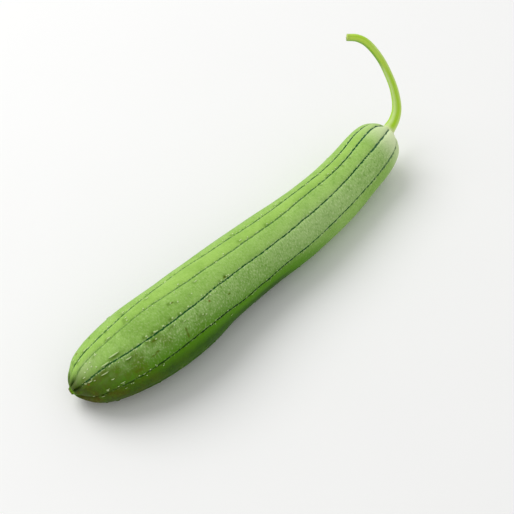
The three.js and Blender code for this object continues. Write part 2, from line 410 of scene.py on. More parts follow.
# The skin's material. A noise is [scale, detail, roughness], and a step is [from, to, value before it,
# value after it]. What a row leaves out is the usual value, which Nodes gives.
PATCH_NOISE = [70.0, 3.0, 0.6]
LEATHER_NOISE = [420.0, 3.0, 0.6]
GRAIN_NOISE = [1500.0, 2.0, 0.6]
FLECK_NOISE = [1.0, 3.0]
FLECK_ALONG = 1.1
FLECK_AROUND = 0.5
DEEP_STEP = [-0.1, 0.62]
SHADE_DARKEST_STEP = [0.6, 0.95]
PATCH_STEP = [0.4, 0.75, 0.0, 0.25]
BLOTCH_STEP = [0.42, 0.6]
BLOTCH_END = [40.0, 110.0, 0.75, 0.0]
BLOTCH_BLOOM = [0.05, 0.9]
BROWN_STEP = [0.45, 0.6]
OLIVE_GAIN = 1.1
# How coarse the skin looks: at least a little, and more where it has bloom or is olive.
LEAST_COARSE = 0.2
OLIVE_COARSE = 0.5
COARSE_LEATHER = [0.47, 0.7, 0.0, 0.5]
DARK_FLECKS = [0.3, 0.5, 0.4, 0.0]
PALE_FLECKS = [0.5, 0.72, 0.0, 0.5]
PALE_FLECKS_END = [0.1, 0.9, 1.0, 0.03]
DARK_GRAIN = [0.35, 0.65, 0.1, 0.0]
SHADOW_STRENGTH = 0.95
MARK_EDGE = [0.4, 1.3, 0.8, 0.0]
FOLD_SHADE = 0.9
RAISED_HIGHLIGHT = 0.9
NUB_END = [1.5, 3.5, 1.0, 0.0]
NUB_TIP = [0.0, 0.8, 0.9, 0.0]
SKIN_ROUGHNESS = [0.3, 0.7, 0.42, 0.56]
SKIN_SPECULAR = 0.07
# Bump: the shares of leather, grain and flecks, its strength and its height.
BUMP_SHARES = [0.6, 0.25, 0.5]
BUMP_STRENGTH = 0.5
BUMP_HEIGHT = 0.5

# The dark lines in the furrows wiggle and swell like beads, with pale specks beside them, partly real
# specks and partly a painted highlight on the furrow walls.
WIGGLE_NOISE = [0.3, 4.0, 0.65]
WIGGLE_WIDTH = 1.6
BEAD_NOISE = [0.4, 3.0, 0.7]
LINE_ROW = 37.0
BEAD_WIDTH = [0.35, 0.65, 0.7, 1.2]
BEAD_STRENGTH = [0.32, 0.5, 0.45, 1.0]
# Edges of a line and of its margin, in half-widths.
LINE_EDGE = [0.6, 1.4]
MARGIN_EDGE = [1.6, 2.8]
SPECK_SCALE = 0.8
SPECK_STEP = [0.52, 0.62, 0.0, 0.6]
SPECK_END = [0.2, 0.7, 1.0, 0.25]
BLUISH_START = [275.0, 318.0]
DARK_LINE_STEP = [0.2, 0.6]

# The stem's material.
STEM_RIDGE_STEP = [-0.6, 0.9, 0.0, 0.5]
STRIPE_EDGE = [0.4, 1.4]
STRIPE_STRENGTH = 0.85
STREAKS_ALONG = 6.0
STREAKS_AROUND = 30.0
STREAK_NOISE = [1.0, 3.0, 0.6]
STREAK_STEP = [0.45, 0.7, 0.0, 0.35]
MOTTLE_NOISE = [350.0, 3.0]
MOTTLE_STEP = [0.5, 0.8, 0.0, 0.3]
RIM_STEP = [0.975, 0.99, 0.0, 0.5]
COLLAR_STEP = [0.0, 0.07, 0.85, 0.0]
STEM_BUMP_SHARES = [0.8, 0.4]
STEM_BUMP_STRENGTH = 0.4
STEM_BUMP_HEIGHT = 0.4
STEM_ROUGHNESS = 0.45
STEM_SPECULAR = 0.25

# The floor and the light. Their sizes and the light's distance are in metres, the drop in millimetres.
FLOOR_SIZE = 6
FLOOR_DROP = 0.05
FLOOR_NOISE = 8.0
FLOOR_ROUGHNESS = 0.9
FLOOR_WHITE = linear(246, 246, 245)
FLOOR_WHITEST = linear(248, 248, 247)
WORLD_STRENGTH = 0.62
KEY_DIRECTION = (-0.1, 0.6, 0.79)
KEY_DISTANCE = 2.5
KEY_SIZE = 2.1
KEY_POWER = 35


# Curves and shapes

def curve_at(points, places):
    """Points of a uniform Catmull-Rom curve through points, at places from 0 to 1."""
    knots = np.asarray(points, float).reshape(len(points), -1)
    scaled = np.clip(np.asarray(places, float), 0, 1) * (len(knots) - 1)
    span = np.minimum(scaled.astype(int), len(knots) - 2)
    part = (scaled - span)[:, None]
    ends = np.vstack([2 * knots[0] - knots[1], knots, 2 * knots[-1] - knots[-2]])
    before, start, end, after = ends[span], ends[span + 1], ends[span + 2], ends[span + 3]
    slope_in = (end - before) / 2
    slope_out = (after - start) / 2
    cubic = 2 * start - 2 * end + slope_in + slope_out
    square = -3 * start + 3 * end - 2 * slope_in - slope_out
    return cubic * part**3 + square * part**2 + slope_in * part + start


def unit(vectors):
    return vectors / np.linalg.norm(vectors, axis=-1, keepdims=True)


def even_places(points, shares):
    """Places of the curve through points at the given shares of its length."""
    fine = np.linspace(0, 1, LENGTH_SAMPLES)
    steps = np.linalg.norm(np.diff(curve_at(points, fine), axis=0), axis=1)
    lengths = np.concatenate([[0], np.cumsum(steps)])
    return np.interp(np.asarray(shares) * lengths[-1], lengths, fine)


def tangents_at(points, places):
    step = 1e-4
    ahead = curve_at(points, np.minimum(places + step, 1))
    behind = curve_at(points, np.maximum(places - step, 0))
    return unit(ahead - behind)


def bell(value, at, reach):
    return np.exp(-(((value - at) / reach) ** 2))


def smooth(value, low, high):
    share = np.clip((value - low) / (high - low), 0, 1)
    return share * share * (3 - 2 * share)


def fruit_frames(along):
    """Centres, tangents, side and top directions of the fruit at each distance along it."""
    places = even_places(MIDLINE, np.clip(along / FRUIT_LENGTH, 0, 1))
    tangent = tangents_at(MIDLINE, places)
    side = unit(np.cross([0, 0, 1], tangent))
    top = np.cross(tangent, side)
    return curve_at(MIDLINE, places), tangent, side, top


def furrow_degrees(along):
    """Angles of the furrows at each distance along, with the first one again after a full turn."""
    twist = curve_at(FURROW_TWIST, np.clip(along / FRUIT_LENGTH, 0, 1))
    degrees = np.repeat([FURROW_ANGLES + [FURROW_ANGLES[0] + 360]], len(along), axis=0) + twist
    for sway in FURROW_SWAYS:
        degrees[:, sway["furrow"]] += sway["by"] * bell(along, sway["at"], sway["reach"])
    return degrees


PROFILE_FINE = curve_at(FRUIT_PROFILE, np.linspace(0, 1, PROFILE_SAMPLES))


def radius_at(along):
    return np.interp(along, PROFILE_FINE[:, 0], PROFILE_FINE[:, 1])


def strip_at(along, degrees):
    """Where an angle lies among the furrows: 3.5 is half-way between furrows 3 and 4."""
    furrows = furrow_degrees(np.array([along]))[0]
    turned = (degrees - furrows[0]) % 360 + furrows[0]
    return np.interp(turned, furrows, np.arange(STRIPS + 1))


def strip_width_at(along, strip):
    """Width in millimetres of the strip at a place."""
    furrows = furrow_degrees(np.array([along]))[0]
    number = min(int(strip), STRIPS - 1)
    return math.radians(furrows[number + 1] - furrows[number]) * radius_at(along)


def waves(along, strip):
    """Slow unevenness of the skin in millimetres. Whole counts of turn close it round the fruit."""
    turn = 2 * np.pi * strip / STRIPS
    first, second, third = (along / length for length in WAVE_LENGTHS)
    first_drift, second_drift = (along / length for length in WAVE_DRIFTS)
    sets = [
        np.sin(first + 3 * np.sin(turn + 0.7)) * np.cos(2 * turn + first_drift),
        np.sin(second + 4 * np.cos(turn) + 1.9) * np.sin(3 * turn - second_drift + 0.4),
        np.sin(third + 2 * np.cos(2 * turn)),
    ]
    return sum(height * wave for height, wave in zip(WAVE_HEIGHTS, sets))


def blossom_folds(along, strip):
    """Creases that run out from the blossom nub. The waves inside the sines make them uneven."""
    turn = 2 * np.pi * strip / STRIPS
    few, many = FOLD_COUNTS
    first_lean, second_lean = (along / length for length in FOLD_LEANS)
    first = np.sin(few * turn + 0.8 * np.sin(3 * turn) + first_lean)
    second = np.sin(many * turn + 1.3 - second_lean + np.sin(2 * turn))
    mixed = FOLD_SHARES[0] * first + FOLD_SHARES[1] * second
    return FOLD_HEIGHT * mixed * bell(along, FOLD_AT, FOLD_REACH)


def relief_at(along, radius, strip, width):
    """Height of the skin over the plain radius: domed strips with a furrow at each edge."""
    share = strip % 1
    folds = 1.0
    for fold in (BLOSSOM_FOLD, SHOULDER_FOLD):
        folds = folds + fold["gain"] * bell(along, fold["at"], fold["reach"])
    fade = smooth(radius, 0, RELIEF_FADE_RADIUS)
    to_furrow = width * np.minimum(share, 1 - share)
    valley = FURROW_DEPTH * np.exp(-((to_furrow / FURROW_HALF_WIDTH) ** 2))
    groove = GROOVE_DEPTH * np.exp(-((to_furrow / GROOVE_HALF_WIDTH) ** 2))
    dome = STRIP_HEIGHT * np.sin(np.pi * share)
    ridges = (dome - valley - groove) * folds + waves(along, strip)
    return ridges * fade + blossom_folds(along, strip)


# Meshes

def ring_mesh(name, rings, start, end, corner_uv):
    """A closed skin through rings of points, with a middle point at each end. corner_uv gives each
    ring's own u and each side's own v, and the last side's right edge gets the v of a full turn."""
    count, sides = rings.shape[:2]
    vertices = np.vstack([start[None], rings.reshape(-1, 3), end[None]]) * MM
    ring, side = np.meshgrid(np.arange(count - 1), np.arange(sides), indexing="ij")
    ring, side = ring.ravel(), side.ravel()
    beside = (side + 1) % sides
    quads = np.stack(
        [
            1 + ring * sides + side,
            1 + (ring + 1) * sides + side,
            1 + (ring + 1) * sides + beside,
            1 + ring * sides + beside,
        ],
        axis=1,
    )
    last = 1 + (count - 1) * sides
    around = np.arange(sides)
    following = (around + 1) % sides
    first_cap = np.stack([np.zeros(sides, int), 1 + around, 1 + following], axis=1)
    end_cap = np.stack([np.full(sides, len(vertices) - 1), last + following, last + around], axis=1)
    mesh = bpy.data.meshes.new(name)
    mesh.from_pydata(vertices.tolist(), [], quads.tolist() + first_cap.tolist() + end_cap.tolist())
    us, vs = corner_uv
    wrapped = np.append(vs, 1.0)
    quad_u = np.stack([us[ring], us[ring + 1], us[ring + 1], us[ring]], axis=1)
    quad_v = np.stack([wrapped[side], wrapped[side], wrapped[side + 1], wrapped[side + 1]], axis=1)
    cap_v = np.stack([wrapped[:-1], wrapped[:-1], wrapped[1:]], axis=1)
    end_v = np.stack([wrapped[:-1], wrapped[1:], wrapped[:-1]], axis=1)
    u = np.concatenate([quad_u.ravel(), np.full(cap_v.size, us[0]), np.full(end_v.size, us[-1])])
    v = np.concatenate([quad_v.ravel(), cap_v.ravel(), end_v.ravel()])
    layer = mesh.uv_layers.new(name="skin")
    layer.data.foreach_set("uv", np.stack([u, v], axis=1).astype(np.float32).ravel())
    mesh.shade_smooth()
    return mesh


def point_values(mesh, name, values):
    attribute = mesh.attributes.new(name, "FLOAT", "POINT")
    attribute.data.foreach_set("value", np.asarray(values, np.float32))


def with_ends(ring_values):
    """Values for all points of a ring mesh; its two end points take their ring's mean."""
    first, last = ring_values[0].mean(), ring_values[-1].mean()
    return np.concatenate([[first], ring_values.ravel(), [last]])


def fruit_rings():
    """Distances along the fruit, at even steps over its surface and closer at its two ends."""
    along, radius = PROFILE_FINE[:, 0], PROFILE_FINE[:, 1]
    steps = np.hypot(np.diff(along), np.diff(radius))
    middles = (along[1:] + along[:-1]) / 2
    weight = 1 + sum(gain * bell(middles, at, reach) for at, reach, gain in RING_CROWDING)
    travel = np.concatenate([[0], np.cumsum(steps * weight)])
    return np.interp(np.linspace(0, travel[-1], FRUIT_RINGS), travel, along)


# What changes from strip to strip and along them

def across(values, strip):
    """The value of each strip, turning into the next one's at the furrow."""
    values = np.asarray(values, float)
    number = np.floor(strip).astype(int) % STRIPS
    share = strip % 1
    here = values[number]
    to_after = smooth(share, 1 - STRIP_BLEND, 1 + STRIP_BLEND)
    to_before = 1 - smooth(share, -STRIP_BLEND, STRIP_BLEND)
    after = values[(number + 1) % STRIPS] - here
    before = values[number - 1] - here
    return here + after * to_after + before * to_before


def line_strength(along, strip):
    nearest = np.round(strip).astype(int) % STRIPS
    share = along / FRUIT_LENGTH
    strength = np.zeros_like(along)
    for furrow in range(STRIPS):
        steps = LINE_STRENGTHS.get(furrow, LINE_STRENGTH)
        values = np.interp(share, np.linspace(0, 1, len(steps)), steps)
        strength = np.where(nearest == furrow, values, strength)
    ends = smooth(along, *LINE_START) * (1 - smooth(along, *LINE_END))
    return strength * ends


def patch_at(along, strip, middle, reach, strip_middle, strips, strength):
    """How strong a soft round patch of the skin is at each point."""
    return strength * bell(along, middle, reach) * bell(strip, strip_middle, strips)


def skin_values(along, strip, width):
    """What the skin's material reads at each point of the mesh."""
    depth_place, deep_green_and_shade = np.array(DEEP_GREEN_AND_SHADE_AROUND).T
    fading = 1 - (1 - DEPTH_AT_SHOULDER) * smooth(along, *DEPTH_END)
    olive = bell(along, 0, across(OLIVE_REACH, strip))
    climb = DEPTH_CLIMB * (1 - smooth(along, *DEPTH_CLIMB_END))
    climb = climb * bell(strip, DEPTH_CLIMB_STRIP, DEPTH_CLIMB_STRIPS)
    pale = across(STRIP_PALE, strip) * smooth(along, *PALE_START)
    pale += sum(patch_at(along, strip, *patch) for patch in PALE_PATCHES)
    turning = np.interp(strip - climb, depth_place, deep_green_and_shade)
    widening = 1 + LINE_SHOULDER_GAIN * smooth(along, *LINE_SHOULDER)
    tapering = 1 - LINE_TAPER_SHARE * smooth(along, *LINE_TAPER)
    half_widths = np.array(LINE_HALF_WIDTHS)[np.round(strip).astype(int) % STRIPS]
    return {
        "strip_width": width,
        "warmth": across(STRIP_WARMTH, strip) * (1 - olive),
        "bloom": across(STRIP_BLOOM, strip) * smooth(along, *BLOOM_START),
        "deep_green_and_shade": turning * fading + patch_at(along, strip, *DEEP_PATCH),
        "olive": olive,
        "pale": pale,
        "line": line_strength(along, strip),
        "line_width": half_widths * widening * tapering,
        # Painted shade in the hollows of the creases.
        "fold": np.clip(-blossom_folds(along, strip) / FOLD_HEIGHT, 0, 1),
    }


def fruit_grid():
    """Distances along, strip places and points of the fruit's mesh."""
    along = fruit_rings()
    radius = radius_at(along)[:, None]
    centre, _, side, top = fruit_frames(along)
    furrows = furrow_degrees(along)
    even = np.arange(COLUMNS_PER_STRIP) / COLUMNS_PER_STRIP
    crowded = even - COLUMN_CROWDING * np.sin(2 * np.pi * even) / (2 * np.pi)
    strip = (np.arange(STRIPS)[:, None] + crowded[None, :]).ravel()
    number = strip.astype(int)
    gaps = np.diff(furrows, axis=1)[:, number]
    angle = np.radians(furrows[:, number] + gaps * (strip - number))
    width = np.radians(gaps) * radius
    grid_along, grid_strip = np.meshgrid(along, strip, indexing="ij")
    height = relief_at(grid_along, radius, grid_strip, width)
    outward = np.cos(angle)[..., None] * top[:, None] + np.sin(angle)[..., None] * side[:, None]
    points = centre[:, None] + outward * (radius + height)[..., None]
    points[..., 2] = np.maximum(points[..., 2], 0)
    return along, strip, points, centre, width


def shadow_beside(place, along, strip, width):
    """A painted shadow below a long tubercle, or on the blossom side of a short one."""
    at, degrees, length, _, strength = place
    is_long = length >= LONG_TUBERCLE
    behind, below = (0, LONG_SHADOW_BELOW) if is_long else (SHADOW_BEHIND, 0)
    reach = length * LONG_SHADOW_SHARE if is_long else SHADOW_RADIUS
    painted_shadow = np.zeros_like(strip)
    near = np.abs(along - at) < SHADOW_REACHES * reach + behind
    ahead = (along[near] - at + behind)[:, None] / reach
    beside = ((strip[near] - strip_at(at, degrees)) * width[near] + below) / SHADOW_RADIUS
    painted_shadow[near] = strength * np.exp(-(ahead**2) - beside**2)
    return painted_shadow


def make_fruit(places):
    along, strip, points, centre, width = fruit_grid()
    uv = (along / FRUIT_LENGTH, strip / STRIPS)
    mesh = ring_mesh("fruit_skin", points, centre[0], centre[-1], uv)
    grid_along, grid_strip = np.meshgrid(along, strip, indexing="ij")
    for name, values in skin_values(grid_along, grid_strip, width).items():
        point_values(mesh, name, with_ends(values))
    painted_shadow = np.zeros_like(grid_along)
    for place in places:
        painted_shadow += shadow_beside(place, along, grid_strip, width)
    point_values(mesh, "painted_shadow", with_ends(np.clip(painted_shadow, 0, 1)))
    return bpy.data.objects.new("fruit_skin", mesh)


def tubercle_places():
    """The raised marks as [distance along, degrees round the fruit, length, width, painted shadow]."""
    places = [[*place, LONG_WIDTH, LONG_SHADOW] for place in LONG_TUBERCLES]
    for number in range(1, TUBERCLE_COUNT + 1):
        spread = 2 * ((number * SPREAD_STEP) % 1) - 1
        reach = (number * REACH_STEP) % 1
        along = TUBERCLE_START + TUBERCLE_REACH * reach**2
        from_furrow = TUBERCLE_SPREAD * spread / radius_at(along)
        degrees = furrow_degrees(np.array([along]))[0, number % STRIPS] + math.degrees(from_furrow)
        size = (number * LENGTH_STEP) % 1
        length = TUBERCLE_LENGTH[0] + (TUBERCLE_LENGTH[1] - TUBERCLE_LENGTH[0]) * size
        places.append([along, degrees, length, TUBERCLE_WIDTH, TUBERCLE_SHADOW])
    for along, degrees, length, painted_shadow in PAPILLAE:
        places.append([along, degrees, length, DOT_WIDTH, painted_shadow])
    random = np.random.default_rng(RANDOM_SEED)
    for furrow in range(STRIPS):
        for _ in range(DOTS_PER_FURROW):
            along = DOT_START + DOT_REACH * random.random() ** DOT_CROWDING
            offset = random.uniform(*DOT_OFFSET) * random.choice([-1, 1])
            degrees = furrow_degrees(np.array([along]))[0, furrow]
            degrees += math.degrees(offset / radius_at(along))
            length = random.uniform(*DOT_LENGTH)
            width = DOT_WIDTH * random.uniform(DOT_NARROWEST, 1)
            places.append([along, degrees, length, width, random.choice(DOT_SHADOWS)])
    return places


def surface_point(along, degrees):
    """A point of the skin and the directions along it, across it and out of it."""
    strip = strip_at(along, degrees)
    height = relief_at(along, radius_at(along), strip, strip_width_at(along, strip))
    ahead = np.array([along, along + SLOPE_STEP])
    centre, _, side, top = fruit_frames(ahead)
    angle = math.radians(degrees)
    outward = math.cos(angle) * top + math.sin(angle) * side
    points = centre + outward * (radius_at(ahead) + height)[:, None]
    lengthwise = unit(points[1] - points[0])
    crosswise = unit(np.cross(outward[0], lengthwise))
    return points[0], lengthwise, crosswise, np.cross(lengthwise, crosswise)


def icosphere(subdivisions):
    ball = bmesh.new()
    bmesh.ops.create_icosphere(ball, subdivisions=subdivisions, radius=1)
    points = np.array([vertex.co[:] for vertex in ball.verts])
    faces = np.array([[vertex.index for vertex in face.verts] for face in ball.faces])
    ball.free()
    return points, faces


def make_tubercles(places):
    """Low grains with their roots sunk in the skin. None is made where the fruit lies on the surface."""
    ball, ball_faces = icosphere(TUBERCLE_SUBDIVISIONS)
    points, faces, alongs, strips, widths, raised = [], [], [], [], [], []
    for along, degrees, length, width, _ in places:
        middle, lengthwise, crosswise, upward = surface_point(along, degrees)
        if middle[2] < LOWEST_TUBERCLE:
            continue
        rise = LONG_RISE if length >= LONG_TUBERCLE else TUBERCLE_RISE
        height = (rise + TUBERCLE_ROOT) / 2
        grain = ball * [length / 2, width / 2, height]
        faces.append(ball_faces + len(ball) * len(points))
        turned = grain @ np.stack([lengthwise, crosswise, upward])
        points.append(turned + middle + upward * (rise - height))
        strip = strip_at(along, degrees)
        strip_width = strip_width_at(along, strip)
        alongs.append(along + grain[:, 0])
        strips.append(strip - grain[:, 1] / strip_width)
        widths.append(np.full(len(ball), strip_width))
        # The painted highlight: pale on the grain's upper side and towards its top.
        lit = smooth(-grain[:, 1] / width, *HIGHLIGHT_SIDE)
        raised.append(smooth(grain[:, 2] + rise - height, 0, rise) * lit)
    mesh = bpy.data.meshes.new("tubercles")
    faces = np.vstack(faces)
    mesh.from_pydata((np.vstack(points) * MM).tolist(), [], faces.tolist())
    along, strip = np.concatenate(alongs), np.concatenate(strips)
    layer = mesh.uv_layers.new(name="skin")
    uv = np.stack([along / FRUIT_LENGTH, strip / STRIPS], axis=1)[faces.ravel()]
    layer.data.foreach_set("uv", uv.astype(np.float32).ravel())
    values = skin_values(along, strip, np.concatenate(widths))
    values.update(raised=np.concatenate(raised), line=np.zeros(len(along)))
    for name, value in values.items():
        point_values(mesh, name, value)
    mesh.shade_smooth()
    return bpy.data.objects.new("tubercles", mesh)


def make_stem():
    seat, tangent, _, _ = fruit_frames(np.array([FRUIT_LENGTH]))
    root = seat[0] - tangent[0] * STEM_SINK
    root_end = seat[0] + tangent[0] * STEM_ROOT_LENGTH
    route = [root.tolist(), root_end.tolist()] + STEM_ROUTE
    profile = curve_at(STEM_PROFILE, np.linspace(0, 1, STEM_PROFILE_SAMPLES))
    shares = np.linspace(0, 1, STEM_RINGS)
    radius = np.interp(shares, profile[:, 0], profile[:, 1])
    places = even_places(route, shares)
    centres = curve_at(route, places)
    tangents = tangents_at(route, places)
    angle = np.linspace(0, 2 * np.pi, STEM_SIDES, endpoint=False)
    top = np.array([0.0, 0.0, 1.0])
    rings = []
    for share, size, centre, forward in zip(shares, radius, centres, tangents):
        top = unit(top - forward * (top @ forward))
        side = np.cross(top, forward)
        ridge = STEM_RIDGE_SHARE * smooth(share, 0, STEM_RIDGE_START)
        wave = 1 + ridge * np.cos(STEM_RIDGES * angle + STEM_RIDGE_TURN * share)
        spokes = np.cos(angle)[:, None] * top + np.sin(angle)[:, None] * side
        rings.append(centre + spokes * (size * wave)[:, None])
    uv = (shares, angle / (2 * np.pi))
    mesh = ring_mesh("stem_stalk", np.array(rings), centres[0], centres[-1], uv)
    return bpy.data.objects.new("stem_stalk", mesh)


# Materials

class Nodes:
    """Short calls that build one material's node tree. A value is a number, a colour or a socket."""

    def __init__(self, name):
        self.material = bpy.data.materials.new(name)
        self.material.use_nodes = True
        self.tree = self.material.node_tree
        self.shader = self.tree.nodes["Principled BSDF"]

    def put(self, socket, value):
        if isinstance(value, bpy.types.NodeSocket):
            self.tree.links.new(value, socket)
        else:
            socket.default_value = value

    def add(self, kind, *values, **settings):
        node = self.tree.nodes.new(kind)
        for name, value in settings.items():
            setattr(node, name, value)
        for socket, value in zip(node.inputs, values):
            self.put(socket, value)
        return node

    def named(self, kind, inputs, **settings):
        node = self.add(kind, **settings)
        for name, value in inputs.items():
            self.put(node.inputs[name], value)
        return node

    def math(self, operation, *values):
        return self.add("ShaderNodeMath", *values, operation=operation).outputs[0]

    def times(self, *values):
        result = values[0]
        for value in values[1:]:
            result = self.math("MULTIPLY", result, value)
        return result

    def plus(self, *values):
        result = values[0]
        for value in values[1:]:
            result = self.math("ADD", result, value)
        return result

    def step(self, value, low, high, first=0.0, last=1.0):
        """first below low, last above high, and a soft step between."""
        inputs = {"Value": value, "From Min": low, "From Max": high, "To Min": first, "To Max": last}
        node = self.named("ShaderNodeMapRange", inputs, interpolation_type="SMOOTHSTEP")
        return node.outputs["Result"]

    def mix(self, share, first, second):
        node = self.add("ShaderNodeMix", data_type="RGBA")
        factor, colours = node.inputs[0], [node.inputs[6], node.inputs[7]]
        for socket, value in zip([factor, *colours], [share, first, second]):
            self.put(socket, value)
        return node.outputs[2]

    def attribute(self, name):
        return self.add("ShaderNodeAttribute", attribute_name=name).outputs["Fac"]

    def vector(self, x, y, z=0.0):
        return self.add("ShaderNodeCombineXYZ", x, y, z).outputs[0]

    def noise(self, vector, scale, detail=2.0, roughness=0.5):
        inputs = {"Vector": vector, "Scale": scale, "Detail": detail, "Roughness": roughness}
        return self.named("ShaderNodeTexNoise", inputs).outputs["Fac"]

    def bump(self, height, strength, distance):
        inputs = {"Height": height, "Strength": strength, "Distance": distance}
        node = self.named("ShaderNodeBump", inputs)
        self.put(self.shader.inputs["Normal"], node.outputs["Normal"])

    def finish(self, **inputs):
        for name, value in inputs.items():
            self.put(self.shader.inputs[name.replace("_", " ")], value)
        return self.material


def with_marks(nodes, base, along, strip, width):
    for colour, mark_along, degrees, length, breadth in MARKS:
        mark_strip = float(strip_at(mark_along, degrees))
        ahead = nodes.math("DIVIDE", nodes.math("SUBTRACT", along, float(mark_along)), length)
        beside = nodes.times(nodes.math("SUBTRACT", strip, mark_strip), width, 1 / breadth)
        squares = nodes.plus(nodes.times(ahead, ahead), nodes.times(beside, beside))
        base = nodes.mix(nodes.step(nodes.math("SQRT", squares), *MARK_EDGE), base, colour)
    return base


def with_lines(nodes, base, along, around, nearest, deep_green_and_shade):
    """The dark line in each furrow, and the pale specks beside it, partly real and partly a painted
    highlight on the furrow's wall. around is the distance from it.
    """
    on_line = nodes.vector(along, nodes.times(nearest, LINE_ROW))
    aside = nodes.math("SUBTRACT", nodes.noise(on_line, *WIGGLE_NOISE), 0.5)
    to_line = nodes.math("ABSOLUTE", nodes.plus(around, nodes.times(aside, WIGGLE_WIDTH)))
    beads = nodes.noise(on_line, *BEAD_NOISE)
    half = nodes.times(nodes.attribute("line_width"), nodes.step(beads, *BEAD_WIDTH))
    strength = nodes.times(nodes.attribute("line"), nodes.step(beads, *BEAD_STRENGTH))
    core_start, core_end = (nodes.times(half, share) for share in LINE_EDGE)
    core = nodes.step(to_line, core_start, core_end, 1.0, 0.0)
    margin_start, margin_end = (nodes.times(half, share) for share in MARGIN_EDGE)
    margin = nodes.step(to_line, margin_start, margin_end, 1.0, 0.0)
    specks = nodes.noise(nodes.vector(along, around, nearest), SPECK_SCALE)
    margin = nodes.times(margin, nodes.attribute("line"), nodes.step(specks, *SPECK_STEP))
    margin = nodes.times(margin, nodes.step(deep_green_and_shade, *SPECK_END))
    # Pale specks beside the lines: partly real, partly a painted highlight on the furrow walls.
    base = nodes.mix(margin, base, PALE_GREEN)
    line_colour = nodes.mix(nodes.step(along, *BLUISH_START), LINE_GREEN, LINE_BLUISH)
    # The lines turn darker within the painted shade of the lower side.
    line_colour = nodes.mix(nodes.step(deep_green_and_shade, *DARK_LINE_STEP), line_colour, LINE_DARK)
    return nodes.mix(nodes.times(core, strength), base, line_colour)


def skin_material():
    nodes = Nodes("gourd_skin")
    uv = nodes.add("ShaderNodeUVMap", uv_map="skin").outputs[0]
    split = nodes.add("ShaderNodeSeparateXYZ", uv)
    along = nodes.times(split.outputs[0], FRUIT_LENGTH)
    strip = nodes.times(split.outputs[1], float(STRIPS))
    width = nodes.attribute("strip_width")
    place = nodes.add("ShaderNodeTexCoord").outputs["Object"]
    nearest = nodes.math("ROUND", strip)
    around = nodes.times(nodes.math("SUBTRACT", strip, nearest), width)

    olive = nodes.attribute("olive")
    deep_green_and_shade = nodes.attribute("deep_green_and_shade")
    bloom = nodes.attribute("bloom")
    patches = nodes.noise(place, *PATCH_NOISE)
    leather = nodes.noise(place, *LEATHER_NOISE)
    grain = nodes.noise(place, *GRAIN_NOISE)
    stretched = nodes.vector(nodes.times(along, FLECK_ALONG), nodes.times(around, FLECK_AROUND), nearest)
    flecks = nodes.noise(stretched, *FLECK_NOISE)

    base = nodes.mix(nodes.attribute("warmth"), MID_GREEN, YELLOW_GREEN)
    base = nodes.mix(bloom, base, BLOOM_GREEN)
    # Deep green, partly the skin's own and partly painted shade on the lower side, darkest at the
    # bottom.
    base = nodes.mix(nodes.step(deep_green_and_shade, *DEEP_STEP), base, DEEP_GREEN)
    base = nodes.mix(nodes.step(deep_green_and_shade, *SHADE_DARKEST_STEP), base, SHADE_DARKEST_GREEN)
    base = nodes.mix(nodes.step(patches, *PATCH_STEP), base, DEEP_GREEN)
    blotch = nodes.times(nodes.step(patches, *BLOTCH_STEP), nodes.step(along, *BLOTCH_END))
    base = nodes.mix(nodes.times(blotch, nodes.step(bloom, *BLOTCH_BLOOM)), base, BLOTCH_GREEN)
    olive_brown = nodes.mix(nodes.step(patches, *BROWN_STEP), OLIVE, OLIVE_BROWN)
    base = nodes.mix(nodes.times(olive, OLIVE_GAIN), base, olive_brown)

    coarse = nodes.math("MAXIMUM", bloom, nodes.times(olive, OLIVE_COARSE))
    coarse = nodes.plus(nodes.times(coarse, 1 - LEAST_COARSE), LEAST_COARSE)
    fleck_pale = nodes.times(coarse, nodes.step(nodes.plus(deep_green_and_shade, olive), *PALE_FLECKS_END))
    base = nodes.mix(nodes.times(nodes.step(leather, *COARSE_LEATHER), coarse), base, DEEP_GREEN)
    base = nodes.mix(nodes.times(nodes.step(flecks, *PALE_FLECKS), fleck_pale), base, PALE_GREEN)
    base = nodes.mix(nodes.times(nodes.step(flecks, *DARK_FLECKS), coarse), base, DEEP_GREEN)
    base = nodes.mix(nodes.step(grain, *DARK_GRAIN), base, DEEP_GREEN)

    # The shoulder's paleness, partly the skin's own and partly a painted highlight, with pale patches.
    base = nodes.mix(nodes.attribute("pale"), base, SHOULDER_PALE_AND_HIGHLIGHT)
    # Painted shadow below and behind the tubercles and papillae.
    base = nodes.mix(nodes.times(nodes.attribute("painted_shadow"), SHADOW_STRENGTH), base, SHADOW_GREEN)
    base = with_marks(nodes, base, along, strip, width)
    # Painted shade in the creases round the nub.
    base = nodes.mix(nodes.times(nodes.attribute("fold"), FOLD_SHADE), base, FOLD_SHADE_GREEN)
    # Painted highlight on the tops and upper sides of the tubercles and papillae.
    base = nodes.mix(nodes.times(nodes.attribute("raised"), RAISED_HIGHLIGHT), base, PALE_GREEN)
    base = nodes.mix(nodes.step(along, *NUB_END), base, NUB_GREEN)
    base = nodes.mix(nodes.step(along, *NUB_TIP), base, NUB_BROWN)
    colour = with_lines(nodes, base, along, around, nearest, deep_green_and_shade)

    heights = [nodes.times(noise, share) for noise, share in zip([leather, grain, flecks], BUMP_SHARES)]
    nodes.bump(nodes.plus(*heights), BUMP_STRENGTH, BUMP_HEIGHT * MM)
    return nodes.finish(
        Base_Color=colour,
        Roughness=nodes.step(patches, *SKIN_ROUGHNESS),
        Specular_IOR_Level=SKIN_SPECULAR,
    )


